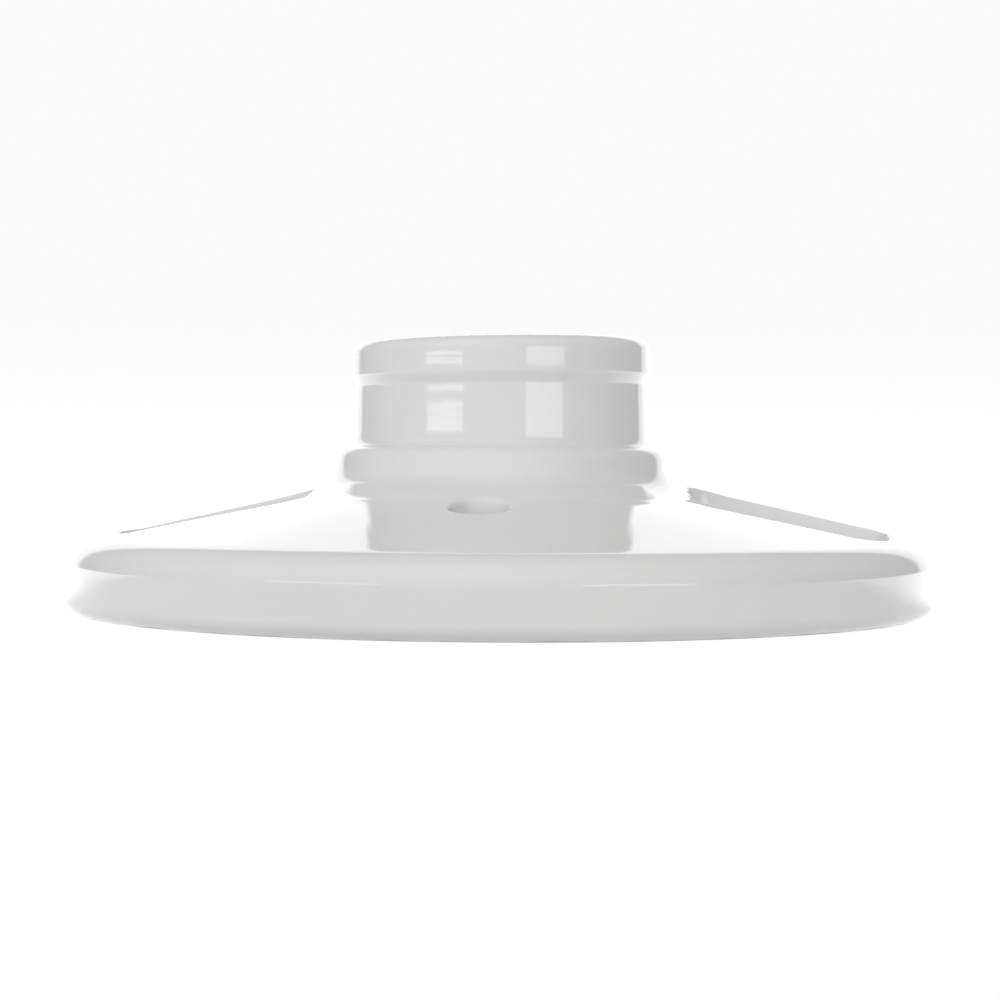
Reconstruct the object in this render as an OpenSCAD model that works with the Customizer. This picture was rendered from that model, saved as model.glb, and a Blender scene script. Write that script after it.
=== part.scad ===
// Keyless ceiling lampholder: a glazed porcelain cover with a hollow neck, screwed to a steatite
// terminal base that carries the lamp's screw shell, its centre contact and two wiring terminals.
// The base rim stands on z = 0, the lamp goes in from above along +Z, and the two mounting slots
// lie along X. The two assembly screws lie along Y.

/* [Base] */
// Diameter of the round base
base_d = 114.3; // [112:0.1:118]
// Thickness of the rim at its foot
rim_wall = 5.4; // [5:0.1:5.8]
// Height at which the straight side and the cone would meet
side_h = 9.14; // [8.8:0.02:9.5]
// Radius of the corner between the side and the cone
side_round = 3.8; // [2.5:0.1:4]
// Rise of the cone towards the collar, in degrees
cone_rise = 12.67; // [12:0.1:13]

/* [Neck] */
// Height of the whole cover
cover_h = 36; // [35.5:0.1:40]
// Diameter of the neck
neck_d = 38.6; // [38.2:0.1:39]
// Diameter of the lip round the mouth
lip_d = 39.5; // [39.3:0.1:40]
// Height of the lip
lip_h = 4.7; // [4:0.1:5]
// Radius of the lip's rounded edges
lip_round = 1.6; // [1:0.1:2]
// Diameter of the hollow inside the neck
neck_bore_d = 29.8; // [29.6:0.1:30.4]

/* [Mounting slots] */
// Distance from the centre to the inner end of a slot
slot_inner = 25; // [24.5:0.1:27]
// Distance from the centre to the outer end of a slot
slot_outer = 51.4; // [50:0.1:51.5]
// Width of a slot
slot_w = 6.4; // [5:0.1:7]

/* [Lamp shell] */
// Inner diameter over the crests of the shell's thread
thread_minor_d = 24.8; // [24.6:0.1:25]
// Inner diameter over the roots of the shell's thread
thread_major_d = 26.6; // [26.4:0.1:26.8]
// Distance from one turn to the next
thread_pitch = 3.629; // [3.6:0.001:3.66]
// Turns in the shell
thread_turns = 4; // [3:1:4]
// Thickness of the shell's sheet
shell_sheet = 0.4; // [0.3:0.05:0.45]

/* [Terminal base] */
// Length of the steatite bar, along the assembly screws
bar_l = 76; // [75:0.5:77]
// Width of the steatite bar
bar_w = 34; // [32:0.5:36]
// Thickness of the steatite bar
bar_t = 4.2; // [4.1:0.05:4.5]
// Distance from the centre to a terminal screw
terminal_y = 22; // [21.5:0.1:22.5]

/* [Assembly screws] */
// Distance from the centre to an assembly screw
assembly_y = 33.3; // [32.8:0.1:33.6]
// Diameter of the sunk hole for a screw's head
head_hole_d = 7.2; // [7:0.1:7.6]

/* [Hidden] */
$fn = 96;

// How far a cutting shape runs past the face that it opens
past = 0.5;
// Largest turn between two points of a rounded corner, in degrees
arc_step = 12;

// Cover
base_r = base_d / 2;
rim_inner_r = base_r - rim_wall;
neck_r = neck_d / 2;
lip_r = lip_d / 2;
neck_bore_r = neck_bore_d / 2;
// Where the cone steepens towards the collar, and how steep it is there
steep_r = 31;
steep_rise = 14.5;
steep_round = 12;
// Rounded edges of the rim's foot
foot_inner_round = 1;
foot_outer_round = 2;
// Foot and top of the collar's side
collar_foot_r = 22.2;
collar_top_r = 21.7;
collar_h = 3.9;
collar_foot_round = 2.5;
collar_top_round = 1.6;
// Where the shoulder above the collar meets the neck, which narrows slightly upwards
shoulder_h = 0.7;
shoulder_round = 1.2;
neck_draft = 0.2;
// Gentle step from the neck out to the lip
step_h = 1.3;
step_round = 1.2;
steep_z = side_h + (base_r - steep_r) * tan(cone_rise);
collar_foot_z = steep_z + (steep_r - collar_foot_r) * tan(steep_rise);
collar_top_z = collar_foot_z + collar_h;
neck_foot_z = collar_top_z + shoulder_h;
lip_z = cover_h - lip_h;
// Flat ceiling inside the cover, on which the terminal base is seated
ceiling_z = 8.5;
ceiling_r = 41;
ceiling_round = 2;
bore_foot_round = 0.8;
// Foot of the sloping part of the ceiling, beside the rim's tapered inside
eave_z = 4.9;
eave_round = 1.5;
rim_inner_draft = 0.5;
eave_r = rim_inner_r - rim_inner_draft;

// Terminal base
bar_bottom = ceiling_z - bar_t;
bar_corner = 7;
boss_r = 14.4;
boss_top = 11.6;
// Recesses for the terminal plates
plate_seat_z = 5.8;
plate_t = 0.8;
plate_bottom = plate_seat_z - plate_t;
plate_gap = 0.3;
plate_corner = 1.2;
pad_w = 10;
pad_l = 11;
arm_w = 6.4;
// How far an arm reaches past its rivet
arm_end = 3.1;

// Lamp shell and contact
crest_r = thread_minor_d / 2;
root_r = thread_major_d / 2;
shell_floor_z = boss_top;
shell_opening_r = 8;
// Plain wall between the shell's floor and its thread
foot_r = crest_r + 0.3;
foot_bend = 1;
// Flared mouth of the shell
flare_r = crest_r + 1.4;
flare_h = 1.2;
// Middle of the lowest crest
thread_start_z = 15.4;
thread_end_z = thread_start_z + thread_turns * thread_pitch;
// Straight share of a turn on each crest and each root
thread_land = 0.26;
leaf_t = 0.5;
leaf_w = 5.2;
leaf_rise = 2.2;
leaf_bend = 0.8;
leaf_foot_y = -7.4;
leaf_root_y = -3.75;
leaf_top_y = -1.6;
leaf_tip_y = 2.6;
dimple_r = 1.2;
dimple_h = 0.5;

// Rivets
rivet_r = 1.2;
rivet_head_r = 1.7;
rivet_head_h = 0.8;
rivet_tail_h = 0.8;
contact_head_r = 1.5;
contact_rivet_y = -5.7;
shell_rivet_x = 10;
burr_r = 2.9;
burr_t = 0.6;
burr_seat_z = 6.4;

// Binding screws, pointing up into the base
screw_r = 1.7;
screw_hole_r = 1.75;
screw_tip_z = 8;
screw_head_r = 3.6;
screw_head_h = 1.9;
washer_t = 0.5;
washer_r = 3.7;
screw_pocket_r = 2.4;
drive_w = 1;
drive_depth = 0.9;

// Assembly screws, pointing down, with their nuts and washers
shank_r = 1.75;
cover_hole_r = 2.15;
base_hole_r = 2;
head_seat_z = 10.9;
fibre_t = 0.5;
fibre_r = 3.4;
pan_r = 3.1;
pan_h = 1.7;
nut_r = 4.5;
nut_pocket_r = 4.7;
nut_seat_z = 6.8;
nut_h = 2.4;
shank_tip_z = 3.9;

// Unit vector from p to q
function unit(p, q) = (q - p) / norm(q - p);

// Arc of radius r that rounds the corner b between a and c
function corner_arc(a, b, c, r) =
    let (
        to_a = unit(b, a),
        to_c = unit(b, c),
        half = acos(to_a * to_c) / 2,
        centre = b + unit([0, 0], to_a + to_c) * r / sin(half),
        start = b + to_a * r / tan(half) - centre,
        end = b + to_c * r / tan(half) - centre,
        turn = atan2(start.x * end.y - start.y * end.x, start * end),
        steps = ceil(abs(turn) / arc_step)
    )
    [for (i = [0:steps]) centre + turned(start, turn * i / steps)];

// Vector v turned by an angle
function turned(v, angle) = [
    v.x * cos(angle) - v.y * sin(angle),
    v.x * sin(angle) + v.y * cos(angle)
];

// Plain point of a corner
function at(corner) = [corner.x, corner.y];

// Closed outline through corners [x, y, radius], each rounded unless its radius is 0
function rounded_outline(corners) =
    let (n = len(corners))
    [
        for (i = [0:n - 1])
            each corners[i].z > 0
                ? corner_arc(at(corners[(i + n - 1) % n]), at(corners[i]), at(corners[(i + 1) % n]),
                    corners[i].z)
                : [at(corners[i])]
    ];

// Rectangle with rounded corners, centred on the origin
module rounded_rectangle(w, l, r) {
    square([w - 2 * r, l], center = true);
    square([w, l - 2 * r], center = true);
    for (x = [-1, 1], y = [-1, 1])
        translate([x * (w / 2 - r), y * (l / 2 - r)])
            circle(r = r);
}

// Slot with round ends along X, from x = a to x = b
module slot_outline(a, b, w) {
    translate([a + w / 2, -w / 2])
        square([b - a - w, w]);
    for (x = [a + w / 2, b - w / 2])
        translate([x, 0])
            circle(d = w);
}

// Half section of the cover, counter-clockwise from the inside of the rim's foot
cover_section = rounded_outline([
    [rim_inner_r, 0, foot_inner_round],
    [base_r, 0, foot_outer_round],
    [base_r, side_h, side_round],
    [steep_r, steep_z, steep_round],
    [collar_foot_r, collar_foot_z, collar_foot_round],
    [collar_top_r, collar_top_z, collar_top_round],
    [neck_r + neck_draft, neck_foot_z, shoulder_round],
    [neck_r, lip_z - step_h, step_round],
    [lip_r, lip_z, step_round],
    [lip_r, cover_h, lip_round],
    [neck_bore_r, cover_h, lip_round],
    [neck_bore_r, ceiling_z, bore_foot_round],
    [ceiling_r, ceiling_z, ceiling_round],
    [eave_r, eave_z, eave_round]
]);

module porcelain_cover() {
    color("white")
    difference() {
        rotate_extrude()
            polygon(cover_section);
        for (side = [0, 180])
            rotate([0, 0, side])
                linear_extrude(height = cover_h)
                    slot_outline(slot_inner, slot_outer, slot_w);
        for (y = [-assembly_y, assembly_y]) {
            translate([0, y, head_seat_z])
                cylinder(d = head_hole_d, h = cover_h);
            translate([0, y, ceiling_z - past])
                cylinder(r = cover_hole_r, h = cover_h);
        }
    }
}

// Stretch of a plate from corner p to corner q, larger by grow all round
module plate_stretch(p, q, grow) {
    size = q - p + 2 * [grow, grow];
    translate((p + q) / 2)
        rounded_rectangle(size.x, size.y, plate_corner + grow);
}

// Pad of a plate round its binding screw
module plate_pad(y, grow) {
    half = [pad_w, pad_l] / 2;
    plate_stretch([0, y] - half, [0, y] + half, grow);
}

// Outline of the hot plate: a pad under its screw and an arm to the centre contact's rivet
module hot_plate_outline(grow) {
    plate_pad(-terminal_y, grow);
    plate_stretch([-arm_w / 2, -terminal_y], [arm_w / 2, contact_rivet_y + arm_end], grow);
}

// Outline of the neutral plate: a pad under its screw and an arm round to the shell's rivet
module neutral_plate_outline(grow) {
    arm_x = shell_rivet_x + arm_w / 2;
    elbow_y = terminal_y - pad_l / 2 + arm_w;
    plate_pad(terminal_y, grow);
    plate_stretch([0, elbow_y - arm_w], [arm_x, elbow_y], grow);
    plate_stretch([arm_x - arm_w, -arm_end], [arm_x, elbow_y], grow);
}

module terminal_base() {
    color("ivory")
    difference() {
        union() {
            translate([0, 0, bar_bottom])
                linear_extrude(height = bar_t)
                    rounded_rectangle(bar_w, bar_l, bar_corner);
            translate([0, 0, bar_bottom])
                cylinder(r = boss_r, h = boss_top - bar_bottom);
        }
        translate([0, 0, bar_bottom - past])
            linear_extrude(height = plate_seat_z - bar_bottom + past) {
                hot_plate_outline(plate_gap);
                neutral_plate_outline(plate_gap);
            }
        for (side = [-1, 1]) {
            translate([0, side * terminal_y, bar_bottom - past])
                cylinder(r = screw_pocket_r, h = bar_t + 2 * past);
            translate([0, side * assembly_y, bar_bottom - past])
                cylinder(r = base_hole_r, h = bar_t + 2 * past);
            translate([0, side * assembly_y, bar_bottom - past])
                cylinder(r = nut_pocket_r, h = nut_seat_z - bar_bottom + past, $fn = 6);
            translate([side * shell_rivet_x, 0, bar_bottom - past])
                cylinder(r = rivet_r, h = boss_top - bar_bottom + 2 * past);
        }
        translate([0, contact_rivet_y, bar_bottom - past])
            cylinder(r = rivet_r, h = boss_top - bar_bottom + 2 * past);
        translate([-shell_rivet_x, 0, bar_bottom - past])
            cylinder(r = burr_r + plate_gap, h = burr_seat_z - bar_bottom + past);
    }
}

// Radius of the shell's inside at a share of one turn, counted from the middle of a crest
function thread_r(share) =
    let (
        s = abs(share - round(share)),
        ramp = (s - thread_land / 2) / (0.5 - thread_land),
        rise = (1 - cos(180 * min(1, max(0, ramp)))) / 2
    )
    crest_r + (root_r - crest_r) * rise;

// Shares of a turn at which the shell's wall has a point
thread_shares = [
    let (half = thread_land / 2, ramp = 0.5 - thread_land)
    for (s = [
        half, half + ramp / 4, half + ramp / 2, half + 3 * ramp / 4, 0.5 - half,
        0.5 + half, 0.5 + half + ramp / 4, 0.5 + half + ramp / 2, 0.5 + half + 3 * ramp / 4, 1 - half
    ])
        s
];

// Inside of the shell's wall, from its foot to its flared mouth
half_land = thread_land / 2 * thread_pitch;
shell_wall = [
    [foot_r, shell_floor_z + shell_sheet + foot_bend],
    [foot_r, thread_start_z - 2 * half_land],
    [crest_r, thread_start_z - half_land],
    for (turn = [0:thread_turns - 1], s = thread_shares)
        [thread_r(s), thread_start_z + (turn + s) * thread_pitch],
    [crest_r, thread_end_z + half_land],
    [(crest_r + flare_r) / 2, thread_end_z + half_land + flare_h / 2],
    [flare_r, thread_end_z + flare_h]
];

module screw_shell() {
    color("goldenrod")
    difference() {
        rotate_extrude()
            polygon([
                [shell_opening_r, shell_floor_z + shell_sheet],
                [foot_r - foot_bend, shell_floor_z + shell_sheet],
                each shell_wall,
                for (i = [len(shell_wall) - 1:-1:0]) shell_wall[i] + [shell_sheet, 0],
                [foot_r + shell_sheet / 2 - foot_bend, shell_floor_z],
                [shell_opening_r, shell_floor_z]
            ]);
        for (x = [-shell_rivet_x, shell_rivet_x])
            translate([x, 0, shell_floor_z - past])
                cylinder(r = rivet_r, h = shell_sheet + 2 * past);
    }
}

// Middle line of the contact leaf, seen from the side: foot, ramp and top
leaf_line = [
    [leaf_foot_y, leaf_t / 2],
    each corner_arc([leaf_foot_y, leaf_t / 2], [leaf_root_y, leaf_t / 2],
        [leaf_top_y, leaf_t / 2 + leaf_rise], leaf_bend),
    each corner_arc([leaf_root_y, leaf_t / 2], [leaf_top_y, leaf_t / 2 + leaf_rise],
        [leaf_tip_y, leaf_t / 2 + leaf_rise], leaf_bend),
    [leaf_tip_y, leaf_t / 2 + leaf_rise]
];

// Direction across the leaf at point i of its middle line
function leaf_normal(i) =
    let (
        n = len(leaf_line),
        along = unit(leaf_line[max(0, i - 1)], leaf_line[min(n - 1, i + 1)])
    )
    [-along.y, along.x];

module centre_contact() {
    leaf_top = boss_top + leaf_rise + leaf_t;
    dimple_top_r = 0.6 * dimple_r;
    color("goldenrod") {
        difference() {
            translate([-leaf_w / 2, 0, boss_top])
                rotate([90, 0, 90])
                    linear_extrude(height = leaf_w)
                        polygon([
                            for (i = [0:len(leaf_line) - 1])
                                leaf_line[i] + leaf_normal(i) * leaf_t / 2,
                            for (i = [len(leaf_line) - 1:-1:0])
                                leaf_line[i] - leaf_normal(i) * leaf_t / 2
                        ]);
            translate([0, contact_rivet_y, boss_top - past])
                cylinder(r = rivet_r, h = leaf_t + 2 * past);
        }
        translate([0, 0, leaf_top - leaf_t / 2])
            cylinder(r1 = dimple_r, r2 = dimple_top_r, h = leaf_t / 2 + dimple_h);
    }
}

// Rivet along Z from its closed tail below to its head above
module rivet(tail_z, head_z, head_r) {
    translate([0, 0, tail_z])
        cylinder(r = rivet_r, h = head_z - tail_z);
    translate([0, 0, head_z])
        cylinder(r1 = head_r, r2 = rivet_r, h = rivet_head_h);
    translate([0, 0, tail_z - rivet_tail_h])
        cylinder(r1 = rivet_r, r2 = head_r, h = rivet_tail_h);
}

module contact_rivet() {
    color("peru")
    translate([0, contact_rivet_y, 0])
        rivet(plate_bottom, boss_top + leaf_t, contact_head_r);
}

module shell_rivet_live() {
    color("peru")
    translate([shell_rivet_x, 0, 0])
        rivet(plate_bottom, shell_floor_z + shell_sheet, rivet_head_r);
}

module shell_rivet_blank() {
    color("peru")
    translate([-shell_rivet_x, 0, 0])
        rivet(burr_seat_z - burr_t, shell_floor_z + shell_sheet, rivet_head_r);
}

module rivet_burr() {
    color("peru")
    translate([-shell_rivet_x, 0, burr_seat_z - burr_t])
        difference() {
            cylinder(r = burr_r, h = burr_t);
            translate([0, 0, -past])
                cylinder(r = rivet_r, h = burr_t + 2 * past);
        }
}

module hot_terminal() {
    color("goldenrod")
    difference() {
        translate([0, 0, plate_bottom])
            linear_extrude(height = plate_t)
                hot_plate_outline(0);
        translate([0, -terminal_y, plate_bottom - past])
            cylinder(r = screw_hole_r, h = plate_t + 2 * past);
        translate([0, contact_rivet_y, plate_bottom - past])
            cylinder(r = rivet_r, h = plate_t + 2 * past);
    }
}

module neutral_terminal() {
    color("silver")
    difference() {
        translate([0, 0, plate_bottom])
            linear_extrude(height = plate_t)
                neutral_plate_outline(0);
        translate([0, terminal_y, plate_bottom - past])
            cylinder(r = screw_hole_r, h = plate_t + 2 * past);
        translate([shell_rivet_x, 0, plate_bottom - past])
            cylinder(r = rivet_r, h = plate_t + 2 * past);
    }
}

// Binding screw with its slotted head below, clamping its washer against the plate
module binding_screw(y) {
    head_top = plate_bottom - washer_t;
    translate([0, y, 0])
        difference() {
            union() {
                translate([0, 0, head_top - screw_head_h])
                    cylinder(r = screw_head_r, h = screw_head_h);
                translate([0, 0, head_top])
                    cylinder(r = screw_r, h = screw_tip_z - head_top);
            }
            translate([0, 0, head_top - screw_head_h])
                cube([2 * screw_head_r + past, drive_w, 2 * drive_depth], center = true);
        }
}

module hot_screw() {
    color("goldenrod")
        binding_screw(-terminal_y);
}

module neutral_screw() {
    color("silver")
        binding_screw(terminal_y);
}

// Washer that stays under the head of a binding screw
module binding_washer(y) {
    translate([0, y, plate_bottom - washer_t])
        difference() {
            cylinder(r = washer_r, h = washer_t);
            translate([0, 0, -past])
                cylinder(r = screw_hole_r, h = washer_t + 2 * past);
        }
}

module hot_washer() {
    color("goldenrod")
        binding_washer(-terminal_y);
}

module neutral_washer() {
    color("silver")
        binding_washer(terminal_y);
}

// Screw from the sunk hole in the cover down through the terminal base
module assembly_screw(y) {
    head_bottom = head_seat_z + fibre_t;
    translate([0, y, 0])
        difference() {
            union() {
                translate([0, 0, shank_tip_z])
                    cylinder(r = shank_r, h = head_bottom - shank_tip_z);
                translate([0, 0, head_bottom])
                    cylinder(r = pan_r, h = pan_h);
            }
            translate([0, 0, head_bottom + pan_h])
                cube([2 * pan_r + past, drive_w, 2 * drive_depth], center = true);
        }
}

module assembly_screw_front() {
    color("silver")
        assembly_screw(-assembly_y);
}

module assembly_screw_back() {
    color("silver")
        assembly_screw(assembly_y);
}

// Hexagon nut in its pocket under the terminal base
module assembly_nut(y) {
    translate([0, y, nut_seat_z - nut_h])
        difference() {
            cylinder(r = nut_r, h = nut_h, $fn = 6);
            translate([0, 0, -past])
                cylinder(r = shank_r, h = nut_h + 2 * past);
        }
}

module assembly_nut_front() {
    color("silver")
        assembly_nut(-assembly_y);
}

module assembly_nut_back() {
    color("silver")
        assembly_nut(assembly_y);
}

// Fibre washer that keeps a screw's head off the porcelain
module head_washer(y) {
    translate([0, y, head_seat_z])
        difference() {
            cylinder(r = fibre_r, h = fibre_t);
            translate([0, 0, -past])
                cylinder(r = shank_r, h = fibre_t + 2 * past);
        }
}

module head_washer_front() {
    color("firebrick")
        head_washer(-assembly_y);
}

module head_washer_back() {
    color("firebrick")
        head_washer(assembly_y);
}

porcelain_cover();
terminal_base();
screw_shell();
centre_contact();
contact_rivet();
shell_rivet_live();
shell_rivet_blank();
rivet_burr();
hot_terminal();
neutral_terminal();
hot_screw();
neutral_screw();
hot_washer();
neutral_washer();
assembly_screw_front();
assembly_screw_back();
assembly_nut_front();
assembly_nut_back();
head_washer_front();
head_washer_back();
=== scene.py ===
# %% [markdown]
# # A porcelain ceiling lampholder
# A keyless lampholder is a glazed porcelain cover that screws over an outlet box. Its neck hides a
# threaded metal shell for the lamp, and an unglazed ceramic bar underneath carries the shell, a
# springy centre contact and two wiring terminals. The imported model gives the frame: every size and
# place starts from it, and this script adds the finer shapes and the finishes. A frame from a fixed
# model keeps the looks honest, because nothing drawn here can drift away from what fits together.

# %% Load the frame
import math

import bmesh
import bpy
import numpy as np
from mathutils import Matrix, Vector


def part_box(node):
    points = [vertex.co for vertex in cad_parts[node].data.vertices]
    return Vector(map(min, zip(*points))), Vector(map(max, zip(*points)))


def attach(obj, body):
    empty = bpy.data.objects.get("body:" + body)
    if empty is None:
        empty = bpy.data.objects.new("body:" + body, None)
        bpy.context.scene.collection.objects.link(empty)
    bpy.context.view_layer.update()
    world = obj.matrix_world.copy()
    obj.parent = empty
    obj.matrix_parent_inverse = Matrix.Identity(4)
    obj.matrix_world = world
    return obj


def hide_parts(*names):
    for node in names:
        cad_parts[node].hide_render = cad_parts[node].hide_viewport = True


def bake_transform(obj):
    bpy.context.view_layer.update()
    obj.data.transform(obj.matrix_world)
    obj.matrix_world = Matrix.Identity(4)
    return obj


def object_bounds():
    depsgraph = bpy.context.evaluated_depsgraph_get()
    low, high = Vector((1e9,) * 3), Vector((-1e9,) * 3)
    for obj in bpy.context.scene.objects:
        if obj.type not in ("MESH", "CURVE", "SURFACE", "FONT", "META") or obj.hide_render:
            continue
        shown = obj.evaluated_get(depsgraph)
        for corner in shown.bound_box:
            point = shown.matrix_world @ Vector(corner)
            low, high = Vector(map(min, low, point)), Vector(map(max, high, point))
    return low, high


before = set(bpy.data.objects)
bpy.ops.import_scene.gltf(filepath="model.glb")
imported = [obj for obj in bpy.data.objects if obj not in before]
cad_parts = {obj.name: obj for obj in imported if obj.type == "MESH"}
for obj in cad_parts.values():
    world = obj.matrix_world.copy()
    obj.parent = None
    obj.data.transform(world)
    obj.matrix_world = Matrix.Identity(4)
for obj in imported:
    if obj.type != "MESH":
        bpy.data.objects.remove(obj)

MM = 0.001
cad_low, cad_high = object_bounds()

# %% [markdown]
# ## The camera
# The lampholder is seen from close by, with the eye only a little above the foot of its rim, so that
# the cone is almost edge on and the mouth of the neck is just out of sight. The camera could be
# aimed with a constraint, but its place on a circle round the axis and one small downward tilt say
# the same with three plain numbers, and a turned object is the same as a camera moved round it.

# %% Place the camera
EYE_DISTANCE = 303 * MM
EYE_HEIGHT = 20.3 * MM
EYE_TURN = math.radians(4.2)
EYE_TILT = math.radians(1.085)
EYE_ROLL = math.radians(0.3)

camera_data = bpy.data.cameras.new("camera")
camera_data.sensor_width = 36
camera_data.lens = 81.7
camera_data.clip_start = 0.01
camera_data.clip_end = 20
camera = bpy.data.objects.new("camera", camera_data)
camera.location = (
    EYE_DISTANCE * math.sin(EYE_TURN),
    -EYE_DISTANCE * math.cos(EYE_TURN),
    EYE_HEIGHT,
)
aim = Matrix.Rotation(EYE_TURN, 3, "Z") @ Matrix.Rotation(math.pi / 2 - EYE_TILT, 3, "X")
camera.rotation_euler = (aim @ Matrix.Rotation(EYE_ROLL, 3, "Z")).to_euler()
bpy.context.scene.collection.objects.link(camera)
bpy.context.scene.camera = camera
print("the eye is", round(EYE_DISTANCE / MM), "mm from the axis")

# %% [markdown]
# ## A way to draw round sections
# Almost every piece here is turned or pressed in a round die, so it starts as a half section. Sharp
# corners catch no light, and real ones are never sharp, so a section is given as corners with a
# radius each, and this helper turns every corner into an arc. Long straight stretches get points in
# between, which later steps need when they cut or bend the surface.

# %% Draw a section from corners
def corner_arc(before, corner, after, radius, turn_step):
    """Points of the arc that rounds one corner."""
    to_before = (before - corner).normalized()
    to_after = (after - corner).normalized()
    half = to_before.angle(to_after) / 2
    centre = corner + (to_before + to_after).normalized() * radius / math.sin(half)
    start = (corner + to_before * radius / math.tan(half) - centre).normalized()
    end = (corner + to_after * radius / math.tan(half) - centre).normalized()
    steps = max(2, math.ceil(start.angle(end) / turn_step))
    return [centre + start.slerp(end, i / steps) * radius for i in range(steps + 1)]


def section(corners, closed=True, turn_step=math.radians(6), span=1.2):
    """Points, in metres, along corners given in millimetres as (across, up, radius)."""
    flat = [Vector(c[:2]) for c in corners]
    points = []
    for i, (x, y, radius) in enumerate(corners):
        inner = closed or 0 < i < len(corners) - 1
        if radius and inner:
            after = flat[(i + 1) % len(flat)]
            points += corner_arc(flat[i - 1], flat[i], after, radius, turn_step)
        else:
            points.append(flat[i])
    points = [p for i, p in enumerate(points) if (p - points[i - 1]).length > 0.001]
    ends = points[1:] + points[:1] if closed else points[1:]
    filled = []
    for a, b in zip(points, ends):
        pieces = max(1, math.ceil((b - a).length / span))
        filled += [a.lerp(b, i / pieces) for i in range(pieces)]
    return [p * MM for p in (filled if closed else filled + [points[-1]])]


# %% Spin a section into a body
def spun(points, steps, closed=True):
    """A mesh turned about Z from a half section."""
    bm = bmesh.new()
    verts = [bm.verts.new((p.x, 0, p.y)) for p in points]
    loop = verts + verts[:1] if closed else verts
    for a, b in zip(loop, loop[1:]):
        bm.edges.new((a, b))
    bmesh.ops.spin(
        bm,
        geom=bm.verts[:] + bm.edges[:],
        cent=(0, 0, 0),
        axis=(0, 0, 1),
        angle=2 * math.pi,
        steps=steps,
        use_merge=True,
    )
    bmesh.ops.remove_doubles(bm, verts=bm.verts, dist=0.002 * MM)
    return bm


# %% [markdown]
# ## Handing a mesh over
# Each finished mesh becomes an object that rides on one body of the frame, so that it moves with
# the joints, and gets its material. Doing this in one place keeps every piece at the origin with its
# place in its mesh, which the material patterns rely on.

# %% Turn a mesh into a piece
def as_object(bm, name, material):
    """An object from a mesh, smooth and with its finish."""
    bmesh.ops.recalc_face_normals(bm, faces=bm.faces)
    for face in bm.faces:
        face.smooth = True
    mesh = bpy.data.meshes.new(name)
    bm.to_mesh(mesh)
    bm.free()
    mesh.materials.append(material)
    made = bpy.data.objects.new(name, mesh)
    bpy.context.scene.collection.objects.link(made)
    print(name, "has", len(mesh.polygons), "faces")
    return made


def piece(bm, name, body, material, replaces):
    """An object that rides on a body and stands in for CAD nodes."""
    made = as_object(bm, name, material)
    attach(made, body)
    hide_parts(*replaces)
    return made


# %% [markdown]
# ## Glazed porcelain
# The glaze is a layer of clear glass, a tenth of a millimetre thick, over a dense white body. It is
# never flat: it pulls back from edges, pools in corners and follows the marks of the turning tool,
# and that slow waviness is what makes a reflection in porcelain break up. The body could be painted
# with an image, but noise on the object's own coordinates needs no image and has no seam. Tiny iron
# specks and pinholes sit in it, and the foot, which stood in the kiln, has no glaze at all.

# %% Start a material
def blank_material(name):
    """A material with nothing in it yet, its nodes and its links."""
    material = bpy.data.materials.new(name)
    material.use_nodes = True
    tree = material.node_tree
    tree.nodes.clear()
    return material, tree.nodes, tree.links


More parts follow.
